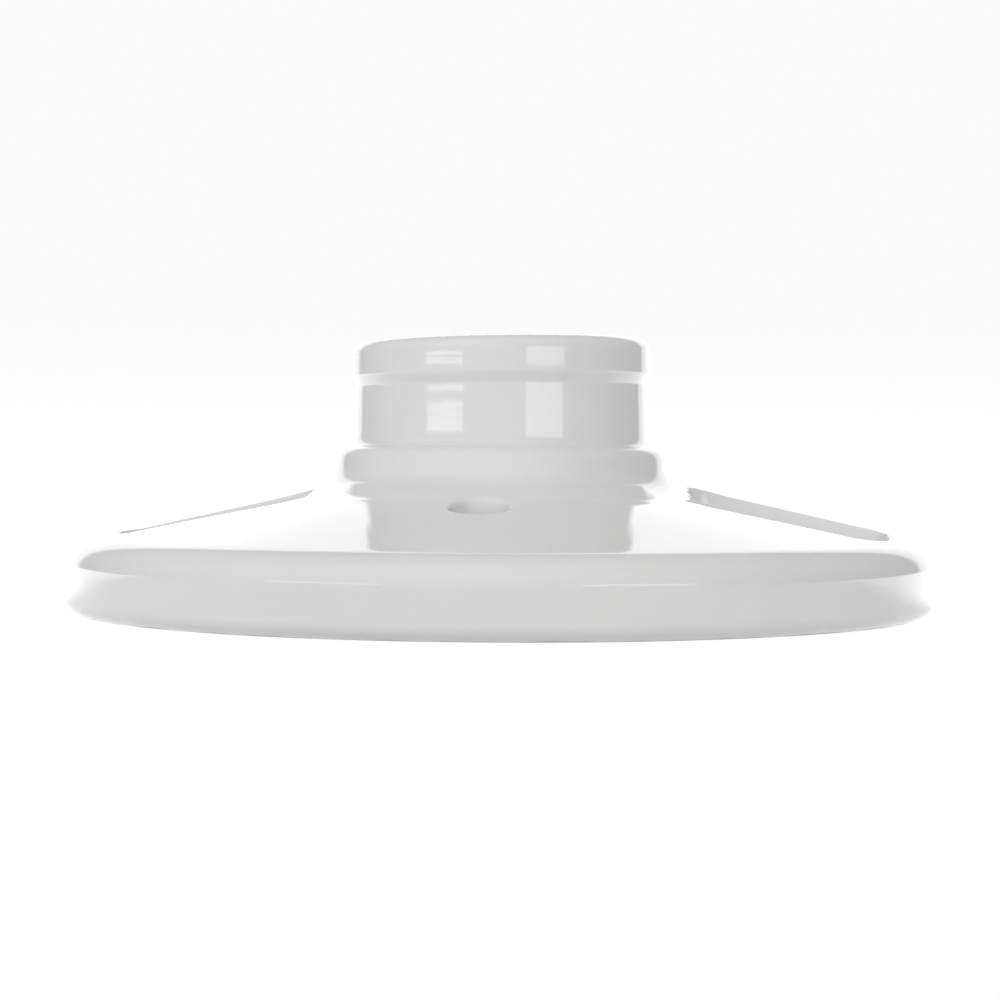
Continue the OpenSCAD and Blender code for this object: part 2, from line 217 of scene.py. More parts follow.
# %% Glazed porcelain
def glazed_porcelain():
    """White body with faint clouds and specks under a rippled glaze, bare at the foot."""
    material, nodes, links = blank_material("glazed_porcelain")

    place = nodes.new("ShaderNodeTexCoord")
    place.label = "place on the cover"
    place.location = (-1500, 0)

    cloud_frame = nodes.new("NodeFrame")
    cloud_frame.label = "faint clouds in the white"
    clouds = nodes.new("ShaderNodeTexNoise")
    clouds.label = "clouds of the body"
    clouds.location = (-1200, 400)
    clouds.parent = cloud_frame
    clouds.inputs["Scale"].default_value = 45
    clouds.inputs["Detail"].default_value = 4
    cloud_colours = nodes.new("ShaderNodeValToRGB")
    cloud_colours.label = "cool white to warm white"
    cloud_colours.location = (-950, 400)
    cloud_colours.parent = cloud_frame
    cloud_colours.color_ramp.elements[0].position = 0.3
    cloud_colours.color_ramp.elements[0].color = (0.80, 0.80, 0.80, 1)
    cloud_colours.color_ramp.elements[1].position = 0.7
    cloud_colours.color_ramp.elements[1].color = (0.84, 0.838, 0.828, 1)
    links.new(place.outputs["Object"], clouds.inputs["Vector"])
    links.new(clouds.outputs["Fac"], cloud_colours.inputs["Fac"])

    speck_frame = nodes.new("NodeFrame")
    speck_frame.label = "iron specks"
    specks = nodes.new("ShaderNodeTexVoronoi")
    specks.label = "one cell for each possible speck"
    specks.location = (-1200, 50)
    specks.parent = speck_frame
    specks.inputs["Scale"].default_value = 150
    specks.inputs["Randomness"].default_value = 1
    speck_dot = nodes.new("ShaderNodeMapRange")
    speck_dot.label = "dot at the middle of a cell"
    speck_dot.location = (-950, 120)
    speck_dot.parent = speck_frame
    speck_dot.inputs["From Min"].default_value = 0.02
    speck_dot.inputs["From Max"].default_value = 0.06
    speck_dot.inputs["To Min"].default_value = 1
    speck_dot.inputs["To Max"].default_value = 0
    speck_choice = nodes.new("ShaderNodeSeparateColor")
    speck_choice.label = "a number for each cell"
    speck_choice.location = (-950, -120)
    speck_choice.parent = speck_frame
    speck_rare = nodes.new("ShaderNodeMath")
    speck_rare.label = "only a few cells have one"
    speck_rare.location = (-750, -120)
    speck_rare.parent = speck_frame
    speck_rare.operation = "GREATER_THAN"
    speck_rare.inputs[1].default_value = 0.93
    speck_mask = nodes.new("ShaderNodeMath")
    speck_mask.label = "specks"
    speck_mask.location = (-550, 0)
    speck_mask.parent = speck_frame
    speck_mask.operation = "MULTIPLY"
    links.new(place.outputs["Object"], specks.inputs["Vector"])
    links.new(specks.outputs["Distance"], speck_dot.inputs["Value"])
    links.new(specks.outputs["Color"], speck_choice.inputs["Color"])
    links.new(speck_choice.outputs["Red"], speck_rare.inputs[0])
    links.new(speck_dot.outputs["Result"], speck_mask.inputs[0])
    links.new(speck_rare.outputs["Value"], speck_mask.inputs[1])
    speck_colour = nodes.new("ShaderNodeMix")
    speck_colour.label = "specks over the white"
    speck_colour.location = (-350, 300)
    speck_colour.parent = speck_frame
    speck_colour.data_type = "RGBA"
    speck_colour.inputs["B"].default_value = (0.30, 0.24, 0.18, 1)
    links.new(speck_mask.outputs["Value"], speck_colour.inputs["Factor"])
    links.new(cloud_colours.outputs["Color"], speck_colour.inputs["A"])

    foot_frame = nodes.new("NodeFrame")
    foot_frame.label = "bare foot of the rim"
    height = nodes.new("ShaderNodeSeparateXYZ")
    height.label = "height above the foot"
    height.location = (-1200, -350)
    height.parent = foot_frame
    foot_edge = nodes.new("ShaderNodeTexNoise")
    foot_edge.label = "ragged edge of the wiped glaze"
    foot_edge.location = (-1200, -550)
    foot_edge.parent = foot_frame
    foot_edge.inputs["Scale"].default_value = 160
    foot_line = nodes.new("ShaderNodeMath")
    foot_line.label = "where the glaze ends"
    foot_line.location = (-950, -450)
    foot_line.parent = foot_frame
    foot_line.operation = "MULTIPLY_ADD"
    foot_line.inputs[1].default_value = -0.5 * MM
    foot_mask = nodes.new("ShaderNodeMapRange")
    foot_mask.label = "bare below, glazed above"
    foot_mask.location = (-700, -450)
    foot_mask.parent = foot_frame
    foot_mask.inputs["From Min"].default_value = -0.15 * MM
    foot_mask.inputs["From Max"].default_value = 0.0 * MM
    foot_mask.inputs["To Min"].default_value = 1
    foot_mask.inputs["To Max"].default_value = 0
    links.new(place.outputs["Object"], height.inputs["Vector"])
    links.new(place.outputs["Object"], foot_edge.inputs["Vector"])
    links.new(foot_edge.outputs["Fac"], foot_line.inputs[0])
    links.new(height.outputs["Z"], foot_line.inputs[2])
    links.new(foot_line.outputs["Value"], foot_mask.inputs["Value"])
    foot_colour = nodes.new("ShaderNodeMix")
    foot_colour.label = "chalky body on the foot"
    foot_colour.location = (-150, 200)
    foot_colour.parent = foot_frame
    foot_colour.data_type = "RGBA"
    foot_colour.inputs["B"].default_value = (0.70, 0.66, 0.60, 1)
    links.new(foot_mask.outputs["Result"], foot_colour.inputs["Factor"])
    links.new(speck_colour.outputs["Result"], foot_colour.inputs["A"])

    gloss_frame = nodes.new("NodeFrame")
    gloss_frame.label = "gloss"
    haze = nodes.new("ShaderNodeTexNoise")
    haze.label = "handling haze"
    haze.location = (-900, -750)
    haze.parent = gloss_frame
    haze.inputs["Scale"].default_value = 90
    haze.inputs["Detail"].default_value = 6
    glaze_gloss = nodes.new("ShaderNodeMapRange")
    glaze_gloss.label = "clear to slightly hazy glaze"
    glaze_gloss.location = (-650, -750)
    glaze_gloss.parent = gloss_frame
    glaze_gloss.inputs["From Min"].default_value = 0.35
    glaze_gloss.inputs["From Max"].default_value = 0.75
    glaze_gloss.inputs["To Min"].default_value = 0.05
    glaze_gloss.inputs["To Max"].default_value = 0.11
    bare_gloss = nodes.new("ShaderNodeMix")
    bare_gloss.label = "dull where bare"
    bare_gloss.location = (-150, -500)
    bare_gloss.parent = gloss_frame
    bare_gloss.data_type = "FLOAT"
    bare_gloss.inputs["B"].default_value = 0.8
    links.new(place.outputs["Object"], haze.inputs["Vector"])
    links.new(haze.outputs["Fac"], glaze_gloss.inputs["Value"])
    links.new(foot_mask.outputs["Result"], bare_gloss.inputs["Factor"])
    links.new(glaze_gloss.outputs["Result"], bare_gloss.inputs["A"])

    relief_frame = nodes.new("NodeFrame")
    relief_frame.label = "surface relief"
    squash = nodes.new("ShaderNodeMapping")
    squash.label = "stretched round the axis"
    squash.location = (-1200, -1000)
    squash.parent = relief_frame
    squash.inputs["Scale"].default_value = (1, 1, 3.5)
    ripples = nodes.new("ShaderNodeTexNoise")
    ripples.label = "soft ripples under the glaze"
    ripples.location = (-950, -1000)
    ripples.parent = relief_frame
    ripples.inputs["Scale"].default_value = 75
    ripples.inputs["Detail"].default_value = 2
    peel = nodes.new("ShaderNodeTexNoise")
    peel.label = "orange peel"
    peel.location = (-950, -1250)
    peel.parent = relief_frame
    peel.inputs["Scale"].default_value = 900
    peel.inputs["Detail"].default_value = 2
    ripple_bump = nodes.new("ShaderNodeBump")
    ripple_bump.label = "ripples"
    ripple_bump.location = (-650, -1050)
    ripple_bump.parent = relief_frame
    ripple_bump.inputs["Strength"].default_value = 1
    ripple_bump.inputs["Distance"].default_value = 0.03 * MM
    peel_bump = nodes.new("ShaderNodeBump")
    peel_bump.label = "peel over the ripples"
    peel_bump.location = (-400, -1100)
    peel_bump.parent = relief_frame
    peel_bump.inputs["Strength"].default_value = 1
    peel_bump.inputs["Distance"].default_value = 0.0015 * MM
    links.new(place.outputs["Object"], squash.inputs["Vector"])
    links.new(squash.outputs["Vector"], ripples.inputs["Vector"])
    links.new(place.outputs["Object"], peel.inputs["Vector"])
    links.new(ripples.outputs["Fac"], ripple_bump.inputs["Height"])
    links.new(peel.outputs["Fac"], peel_bump.inputs["Height"])
    links.new(ripple_bump.outputs["Normal"], peel_bump.inputs["Normal"])

    shader = nodes.new("ShaderNodeBsdfPrincipled")
    shader.label = "porcelain"
    shader.location = (150, 0)
    shader.inputs["IOR"].default_value = 1.54
    shader.inputs["Subsurface Weight"].default_value = 0.12
    shader.inputs["Subsurface Scale"].default_value = 2 * MM
    links.new(foot_colour.outputs["Result"], shader.inputs["Base Color"])
    links.new(bare_gloss.outputs["Result"], shader.inputs["Roughness"])
    links.new(peel_bump.outputs["Normal"], shader.inputs["Normal"])
    output = nodes.new("ShaderNodeOutputMaterial")
    output.label = "cover"
    output.location = (450, 0)
    links.new(shader.outputs["BSDF"], output.inputs["Surface"])
    return material


porcelain = glazed_porcelain()
print("porcelain has", len(porcelain.node_tree.nodes), "nodes")

# %% [markdown]
# ## The porcelain cover
# The cover was pressed and turned: a straight rim, a shallow cone, a rounded collar, a plain neck
# and a lip set off by a gentle step. It could be built up from a cylinder and a cone, but one closed
# section that runs right round the wall makes the outside, the neck's bore and the hollow
# underneath in a single spin.

# %% Spin the cover
BASE_R = cad_high.x / MM
COVER_H = cad_high.z / MM
RIM_WALL, RIM_INNER_DRAFT = 5.4, 0.5
RIM_INNER_R = BASE_R - RIM_WALL
SIDE_H = 9.14
STEEP_R, STEEP_Z = 31, 15.02
COLLAR_FOOT = (22.2, 17.3)
COLLAR_TOP = (21.7, 21.2)
NECK_R, LIP_R, NECK_BORE_R = 19.3, 19.75, 14.9
NECK_FOOT_Z, NECK_DRAFT = 21.9, 0.2
LIP_Z, LIP_STEP_H = 31.3, 1.3
CEILING_Z, CEILING_R = 8.5, 41
EAVE_Z = 4.9

cover_section = section([
    (RIM_INNER_R, 0, 1),
    (BASE_R, 0, 2),
    (BASE_R, SIDE_H, 3.8),
    (STEEP_R, STEEP_Z, 12),
    (*COLLAR_FOOT, 2.5),
    (*COLLAR_TOP, 1.6),
    (NECK_R + NECK_DRAFT, NECK_FOOT_Z, 1.2),
    (NECK_R, LIP_Z - LIP_STEP_H, 1.2),
    (LIP_R, LIP_Z, 1.2),
    (LIP_R, COVER_H, 1.6),
    (NECK_BORE_R, COVER_H, 1.6),
    (NECK_BORE_R, CEILING_Z, 0.8),
    (CEILING_R, CEILING_Z, 2),
    (RIM_INNER_R - RIM_INNER_DRAFT, EAVE_Z, 1.5),
])
COVER_STEPS = 256
cover = spun(cover_section, COVER_STEPS)
print("the section has", len(cover_section), "points")

# %% [markdown]
# ## Openings with soft edges
# The slots and screw holes were pushed through the clay while it was still damp, and the glaze then
# rounded their edges. A boolean cut would leave a hard, ragged edge in a shiny surface. Instead a
# window is opened in both skins, and rings that follow the opening's outline are laid from the top
# skin over a rounded edge, down the wall, and out over the lower skin, each bridged to the next.

# %% Height of the two skins
CONE_R, CONE_Z = 20.5, 9.5
HOLLOW_LOW, HOLLOW_HIGH = (16, 4.9), (51, 8.51)
ON_SKIN = 0.1 * MM


def skin_points(low, high):
    """Points of the cover's section between two corners in millimetres, sorted by distance."""
    inside = [
        (p.x, p.y)
        for p in cover_section
        if low[0] * MM < p.x < high[0] * MM and low[1] * MM < p.y < high[1] * MM
    ]
    return np.array(sorted(inside))


above = skin_points((CONE_R, CONE_Z), (math.inf, math.inf))
below = skin_points(HOLLOW_LOW, HOLLOW_HIGH)


def height_on(skin, co):
    """Height of a skin of the cover at a point."""
    return float(np.interp(math.hypot(co.x, co.y), skin[:, 0], skin[:, 1]))


# %% Rings round an opening
def outline(ends, radius):
    """Points, along X, round two centres at the given distances, in millimetres."""
    low, high = ends[0] - radius, ends[1] + radius
    side = max(1, (ends[1] - ends[0]) / 16 + 0.001)
    corners = ((low, -radius), (high, -radius), (high, radius), (low, radius))
    return section([(*corner, radius) for corner in corners], span=side)


def ring(bm, turn, ends, radius):
    """A closed line round an opening that lies at an angle from X, as its vertices."""
    place = Matrix.Rotation(turn, 4, "Z")
    made = [bm.verts.new(place @ p.to_3d()) for p in outline(ends, radius)]
    for a, b in zip(made, made[1:] + made[:1]):
        bm.edges.new((a, b))
    return set(made)


def edges_among(verts):
    """Edges that have both ends in a set of vertices."""
    return list({e for v in verts for e in v.link_edges if e.other_vert(v) in verts})


def laid_on(verts, skin, drop):
    """Sets a ring's height to a drop below a skin."""
    for v in verts:
        v.co.z = height_on(skin, v.co) - drop
    return verts


# %% Open a skin and lay the first ring
CONE_BAND = (4 * MM, 20 * MM)
LEAST_FACING = 0.3
FIRST_RING_GAP = 0.4


def open_skin(bm, turn, reach, half_angle, facing):
    """Deletes the faces of one skin between two radii in millimetres, about a direction."""
    gone = []
    for face in bm.faces:
        c = face.calc_center_median()
        away = (math.atan2(c.y, c.x) - turn + math.pi) % (2 * math.pi) - math.pi
        if reach[0] < math.hypot(c.x, c.y) / MM < reach[1] and abs(away) < half_angle:
            if face.normal.z * facing > LEAST_FACING and CONE_BAND[0] < c.z < CONE_BAND[1]:
                gone.append(face)
    bmesh.ops.delete(bm, geom=gone, context="FACES")


def open_edges(bm, skin):
    """Edges on a skin that have a face on one side only."""
    found = []
    for e in bm.edges:
        co = e.verts[0].co
        if e.is_boundary and abs(co.z - height_on(skin, co)) < ON_SKIN:
            found.append(e)
    return found


def first_ring(bm, turn, ends, radius, skin, cuts=3):
    """Joins the window in a skin to a ring round the opening, and lays the join on the skin."""
    edges = open_edges(bm, skin)
    edges += edges_among(laid_on(ring(bm, turn, ends, radius), skin, 0))
    joined = bmesh.ops.bridge_loops(bm, edges=edges)
    split = bmesh.ops.subdivide_edges(bm, edges=joined["edges"], cuts=cuts, use_grid_fill=True)
    laid_on([g for g in split["geom_inner"] if isinstance(g, bmesh.types.BMVert)], skin, 0)


# %% Lay the rings through the wall
def rings_over_edge(bm, turn, ends, radius, skin, edge_r, down, steps=5):
    """Rings from a skin over its rounded edge to the opening's wall, sizes in millimetres."""
    rings = []
    for i in range(steps + 1):
        tilt = math.pi / 2 * i / steps
        made = ring(bm, turn, ends, radius + edge_r * (1 - math.sin(tilt)))
        rings.append(laid_on(made, skin, down * edge_r * (1 - math.cos(tilt)) * MM))
    return rings


def opening(bm, turn, half_angle, top, foot, inside=()):
    """An opening through both skins. top and foot give the centres' distances, the radius, the
    edge's radius and the reach of the window; inside lists (radius, height) steps. All in mm."""
    for skin, facing, (ends, radius, edge_r, reach) in ((above, 1, top), (below, -1, foot)):
        open_skin(bm, turn, reach, half_angle, facing)
        first_ring(bm, turn, ends, radius + edge_r + FIRST_RING_GAP, skin)
    rings = [{v for e in open_edges(bm, above) for v in e.verts}]
    rings += rings_over_edge(bm, turn, *top[:2], above, top[2], 1)
    for radius, height in inside:
        step = ring(bm, turn, top[0], radius)
        for v in step:
            v.co.z = height * MM
        rings.append(step)
    rings += rings_over_edge(bm, turn, *foot[:2], below, foot[2], -1)[::-1]
    rings.append({v for e in open_edges(bm, below) for v in e.verts})
    for a, b in zip(rings, rings[1:]):
        bmesh.ops.bridge_loops(bm, edges=edges_among(a) + edges_among(b))


# %% Cut the slots
SLOT_INNER, SLOT_OUTER, SLOT_R = 25, 51.4, 3.2
SLOT_FOOT_OUTER = 49.4
SLOT_EDGE_R, SLOT_FOOT_EDGE_R = 0.4, 0.3
SLOT_WINDOW, SLOT_FOOT_WINDOW = (23.85, 53.2), (22.8, 50.4)
SLOT_HALF_ANGLE = math.radians(12.6)

slot_ends = (SLOT_INNER + SLOT_R, SLOT_OUTER - SLOT_R)
slot_foot_ends = (SLOT_INNER + SLOT_R, SLOT_FOOT_OUTER - SLOT_R)
bmesh.ops.recalc_face_normals(cover, faces=cover.faces)
for turn in (0, math.pi):
    opening(
        cover,
        turn,
        SLOT_HALF_ANGLE,
        top=(slot_ends, SLOT_R, SLOT_EDGE_R, SLOT_WINDOW),
        foot=(slot_foot_ends, SLOT_R, SLOT_FOOT_EDGE_R, SLOT_FOOT_WINDOW),
    )
print("after the slots there are", len(cover.faces), "faces")

# %% Cut the sunk screw holes
HEAD_HOLE_R, SCREW_HOLE_R, SEAT_Z = 3.6, 2.15, 10.9
HEAD_EDGE_R, SCREW_EDGE_R = 0.6, 0.25
HOLE_REACH = 5.4
HOLE_HALF_ANGLE = math.radians(9.6)

assembly_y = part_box("assembly_screw_back")[0].lerp(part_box("assembly_screw_back")[1], 0.5).y / MM
hole_at = (assembly_y, assembly_y)
hole_window = (assembly_y - HOLE_REACH, assembly_y + HOLE_REACH)
for turn in (math.pi / 2, -math.pi / 2):
    opening(
        cover,
        turn,
        HOLE_HALF_ANGLE,
        top=(hole_at, HEAD_HOLE_R, HEAD_EDGE_R, hole_window),
        foot=(hole_at, SCREW_HOLE_R, SCREW_EDGE_R, hole_window),
        inside=[
            (HEAD_HOLE_R, SEAT_Z + 0.4),
            (HEAD_HOLE_R - 0.1, SEAT_Z + 0.12),
            (HEAD_HOLE_R - 0.4, SEAT_Z),
            (SCREW_HOLE_R + 0.3, SEAT_Z),
            (SCREW_HOLE_R, SEAT_Z - 0.3),
        ],
    )
print("after the holes there are", len(cover.faces), "faces")

# %% [markdown]
# ## Small changes in shape
# Porcelain moves as it dries and fires, so a real cover is never quite a body of revolution. Here the
# lip leans a little to one side, and the clay round the slots is sunk, most of all in front of them,
# so that each slot's far wall shows above its near edge. How far is given here, and firing is only
# the likeliest cause. The section could be changed instead, but that would change it all the way
# round, so the finished mesh is pushed. The pushes only lower points, which keeps the cover within
# the size that the frame gives.

# %% Lean the lip and sink the clay round the slots
LIP_LEAN = 0.7
# Sag in front of a slot and behind it, and how far from the slot it reaches
SAG_RIGHT, SAG_LEFT, SAG_REACH = (1.6, 0), (1.6, 0.6), 14
# The sag starts here, and rises and fades between each pair of distances
SAG_LOW_R, SAG_LOW_Z = 20.5, 9.3
SAG_ASIDE, SAG_RISE, SAG_FADE = (6, 24), (22, 27), (49, 54)


def ease(x, start, end):
    """0 before start, 1 after end, and a smooth rise between."""
    t = min(1, max(0, (x - start) / (end - start)))
    return t * t * (3 - 2 * t)


for v in cover.verts:
    x, y, z = v.co / MM
    radius = math.hypot(x, y)
    v.co.z -= LIP_LEAN * MM * ease(z, NECK_FOOT_Z, COVER_H) * (1 - (x / LIP_R + 1) / 2)
    if radius > SAG_LOW_R and z > SAG_LOW_Z:
        along = ease(abs(x), *SAG_ASIDE) * ease(radius, *SAG_RISE) * (1 - ease(radius, *SAG_FADE))
        fade = math.exp(-((max(0, abs(y) - SLOT_R) / SAG_REACH) ** 2))
        before, behind = SAG_RIGHT if x > 0 else SAG_LEFT
        sag = behind + (before - behind) * ease(-y, -SLOT_R, SLOT_R)
        v.co.z -= sag * MM * along * fade
print("the lip is now", round(max(v.co.z for v in cover.verts) / MM, 2), "mm high")

# %% Hand the cover over
piece(
    cover, "porcelain_cover_glazed", "holder", porcelain, ["porcelain_cover"]
)

# %% [markdown]
# ## Sheet metal, turned metal and plating
# The shell is spun brass, the plates are stamped, and the screws are headed and rolled, but all of
# them are bare or plated metal handled by people and machines. One recipe serves them all: a light
# and a darker tone in soft patches, fine scratches that change the gloss, and a little relief. Four
# sets of numbers make brass, nickel plate, zinc plate and copper, so they look like one family.

# %% Metals
def metal(name, bright, tarnished, gloss, scratch_depth):
    """A metal finish: two tones, a pair of roughness values and the depth of its scratches."""
    material, nodes, links = blank_material(name)

    place = nodes.new("ShaderNodeTexCoord")
    place.label = "place on the object"
    place.location = (-1300, 0)

    tone_frame = nodes.new("NodeFrame")
    tone_frame.label = "bright metal and tarnish"
    patches = nodes.new("ShaderNodeTexNoise")
    patches.label = "patches of tarnish"
    patches.location = (-1050, 300)
    patches.parent = tone_frame
    patches.inputs["Scale"].default_value = 260
    patches.inputs["Detail"].default_value = 6
    patches.inputs["Roughness"].default_value = 0.62
    tones = nodes.new("ShaderNodeValToRGB")
    tones.label = "bright to tarnished"
    tones.location = (-800, 300)
    tones.parent = tone_frame
    tones.color_ramp.elements[0].position = 0.38
    tones.color_ramp.elements[0].color = (*bright, 1)
    tones.color_ramp.elements[1].position = 0.75
    tones.color_ramp.elements[1].color = (*tarnished, 1)
    links.new(place.outputs["Object"], patches.inputs["Vector"])
    links.new(patches.outputs["Fac"], tones.inputs["Fac"])

    scratch_frame = nodes.new("NodeFrame")
    scratch_frame.label = "fine scratches"
    drawn = nodes.new("ShaderNodeMapping")
    drawn.label = "drawn out along one way"
    drawn.location = (-1050, -150)
    drawn.parent = scratch_frame
    drawn.inputs["Rotation"].default_value = (0.3, 0.2, 0.6)
    drawn.inputs["Scale"].default_value = (1, 14, 14)
    scratches = nodes.new("ShaderNodeTexNoise")
    scratches.label = "scratches"
    scratches.location = (-800, -150)
    scratches.parent = scratch_frame
    scratches.inputs["Scale"].default_value = 320
    scratches.inputs["Detail"].default_value = 4
    links.new(place.outputs["Object"], drawn.inputs["Vector"])
    links.new(drawn.outputs["Vector"], scratches.inputs["Vector"])

    wear_frame = nodes.new("NodeFrame")
    wear_frame.label = "gloss and relief"
    wear = nodes.new("ShaderNodeMapRange")
    wear.label = "smooth to scuffed"
    wear.location = (-500, 0)
    wear.parent = wear_frame
    wear.inputs["From Min"].default_value = 0.3
    wear.inputs["From Max"].default_value = 0.7
    wear.inputs["To Min"].default_value = gloss[0]
    wear.inputs["To Max"].default_value = gloss[1]
    relief = nodes.new("ShaderNodeBump")
    relief.label = "scratch relief"
    relief.location = (-500, -300)
    relief.parent = wear_frame
    relief.inputs["Strength"].default_value = 1
    relief.inputs["Distance"].default_value = scratch_depth
    links.new(scratches.outputs["Fac"], wear.inputs["Value"])
    links.new(scratches.outputs["Fac"], relief.inputs["Height"])

    shader = nodes.new("ShaderNodeBsdfPrincipled")
    shader.label = name.replace("_", " ")
    shader.location = (-200, 100)
    shader.inputs["Metallic"].default_value = 1
    links.new(tones.outputs["Color"], shader.inputs["Base Color"])
    links.new(wear.outputs["Result"], shader.inputs["Roughness"])
    links.new(relief.outputs["Normal"], shader.inputs["Normal"])
    output = nodes.new("ShaderNodeOutputMaterial")
    output.label = "metal"
    output.location = (100, 100)
    links.new(shader.outputs["BSDF"], output.inputs["Surface"])
    return material


brass = metal("bright_brass", (0.80, 0.58, 0.27), (0.46, 0.29, 0.12), (0.2, 0.38), 0.004 * MM)
nickel = metal("nickel_plate", (0.68, 0.65, 0.60), (0.50, 0.47, 0.42), (0.2, 0.36), 0.003 * MM)
zinc = metal("zinc_plate", (0.62, 0.64, 0.66), (0.42, 0.43, 0.43), (0.3, 0.5), 0.005 * MM)
copper = metal("copper", (0.78, 0.42, 0.27), (0.42, 0.20, 0.12), (0.22, 0.42), 0.004 * MM)
print("made", brass.name, nickel.name, zinc.name, copper.name)

# %% [markdown]
# ## Pressed ceramic and fibre
# Steatite is pressed dry from powder and fired without a glaze, so it is matt, cream coloured and
# faintly grainy, with pits where a grain broke out. Red fibre is paper treated until it turns to
# horn: dull, deep red, with its fibres just visible. Both are a colour, a grain and a relief, so one
# recipe with other numbers serves for both.

# %% Steatite and fibre
def grainy(name, light, dark, stretch, gloss, relief_depth):
    """A dull, grainy finish; stretch draws the grain out along X and Y."""
    material, nodes, links = blank_material(name)

    place = nodes.new("ShaderNodeTexCoord")
    place.label = "place on the object"
    place.location = (-1300, 0)
    drawn = nodes.new("ShaderNodeMapping")
    drawn.label = "way of the grain"
    drawn.location = (-1100, 0)
    drawn.inputs["Scale"].default_value = stretch
    links.new(place.outputs["Object"], drawn.inputs["Vector"])

    colour_frame = nodes.new("NodeFrame")
    colour_frame.label = "clouds and grain"
    clouds = nodes.new("ShaderNodeTexNoise")
    clouds.label = "large clouds"
    clouds.location = (-850, 350)
    clouds.parent = colour_frame
    clouds.inputs["Scale"].default_value = 110
    clouds.inputs["Detail"].default_value = 5
    grain = nodes.new("ShaderNodeTexNoise")
    grain.label = "fine grain"
    grain.location = (-850, 50)
    grain.parent = colour_frame
    grain.inputs["Scale"].default_value = 2200
    grain.inputs["Detail"].default_value = 3
    both = nodes.new("ShaderNodeMix")
    both.label = "grain within clouds"
    both.location = (-600, 250)
    both.parent = colour_frame
    both.data_type = "FLOAT"
    both.inputs["Factor"].default_value = 0.45
    tones = nodes.new("ShaderNodeValToRGB")
    tones.label = "light to dark"
    tones.location = (-400, 250)
    tones.parent = colour_frame
    tones.color_ramp.elements[0].position = 0.36
    tones.color_ramp.elements[0].color = (*light, 1)
    tones.color_ramp.elements[1].position = 0.68
    tones.color_ramp.elements[1].color = (*dark, 1)
    links.new(place.outputs["Object"], clouds.inputs["Vector"])
    links.new(drawn.outputs["Vector"], grain.inputs["Vector"])
    links.new(clouds.outputs["Fac"], both.inputs["A"])
    links.new(grain.outputs["Fac"], both.inputs["B"])
    links.new(both.outputs["Result"], tones.inputs["Fac"])

    surface_frame = nodes.new("NodeFrame")
    surface_frame.label = "gloss and relief"
    dullness = nodes.new("ShaderNodeMapRange")
    dullness.label = "rubbed to dull"
    dullness.location = (-400, -50)
    dullness.parent = surface_frame
    dullness.inputs["From Min"].default_value = 0.3
    dullness.inputs["From Max"].default_value = 0.7
    dullness.inputs["To Min"].default_value = gloss[0]
    dullness.inputs["To Max"].default_value = gloss[1]
    relief = nodes.new("ShaderNodeBump")
    relief.label = "grain relief"
    relief.location = (-400, -350)
    relief.parent = surface_frame
    relief.inputs["Strength"].default_value = 1
    relief.inputs["Distance"].default_value = relief_depth
    links.new(clouds.outputs["Fac"], dullness.inputs["Value"])
    links.new(grain.outputs["Fac"], relief.inputs["Height"])

    shader = nodes.new("ShaderNodeBsdfPrincipled")
    shader.label = name.replace("_", " ")
    shader.location = (-50, 100)
    links.new(tones.outputs["Color"], shader.inputs["Base Color"])
    links.new(dullness.outputs["Result"], shader.inputs["Roughness"])
    links.new(relief.outputs["Normal"], shader.inputs["Normal"])
    output = nodes.new("ShaderNodeOutputMaterial")
    output.label = "surface"
    output.location = (250, 100)
    links.new(shader.outputs["BSDF"], output.inputs["Surface"])
    return material


steatite = grainy(
    "steatite", (0.80, 0.75, 0.64), (0.62, 0.56, 0.45), (1, 1, 1), (0.5, 0.75), 0.02 * MM
)
fibre = grainy(
    "red_fibre", (0.36, 0.09, 0.05), (0.20, 0.04, 0.03), (0.2, 1, 1), (0.45, 0.65), 0.015 * MM
)
print("made", steatite.name, fibre.name)

# %% [markdown]
# ## The screw shell
# The lamp screws into a shell of thin brass. On the real one the thread is rolled into the wall, so
# inside and outside follow the same wave. Cutting a thread into a thick tube would lose that, so the
# wall is spun as one thin skin with close rows, each row is moved in or out by a wave that climbs one
# pitch in a turn, and only then does the skin get its thickness.

# %% Roll the shell's thread
SHELL_SHEET = 0.4
FOOT_R, CREST_R, ROOT_R = 12.7, 12.4, 13.3
SHELL_OPENING_R, FLARE_R, FLARE_H = 8, 13.8, 1.2
LAMP_PITCH = 3.629
THREAD_START = 15.4

shell_low, shell_high = (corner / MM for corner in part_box("screw_shell"))
shell_floor = shell_low.z + SHELL_SHEET
flare_foot = shell_high.z - FLARE_H

shell = spun(
    section(
        [
            (SHELL_OPENING_R, shell_floor, 0),
            (FOOT_R, shell_floor, 1),
            (FOOT_R, flare_foot, 0.6),
            (FLARE_R, shell_high.z, 0),
        ],
        closed=False,
        span=0.25,
    ),
    144,
    closed=False,
)
for v in shell.verts:
    z = v.co.z / MM
    radius = math.hypot(v.co.x, v.co.y) / MM
    turns = (z - THREAD_START) / LAMP_PITCH - math.atan2(v.co.y, v.co.x) / (2 * math.pi)
    wave = (CREST_R + ROOT_R) / 2 - (ROOT_R - CREST_R) / 2 * math.cos(2 * math.pi * turns)
    share = ease(z, THREAD_START - 1, THREAD_START + 0.4)
    share *= 1 - ease(z, flare_foot - 0.6, flare_foot + 0.6)
    growth = 1 + (wave - FOOT_R) * share / radius
    v.co.x *= growth
    v.co.y *= growth
bmesh.ops.recalc_face_normals(shell, faces=shell.faces)
bmesh.ops.solidify(shell, geom=shell.faces[:], thickness=SHELL_SHEET * MM)
print("shell reaches", round(max(v.co.x for v in shell.verts) / MM, 2), "mm of", shell_high.x)
piece(shell, "threaded_shell", "holder", brass, ["screw_shell"])
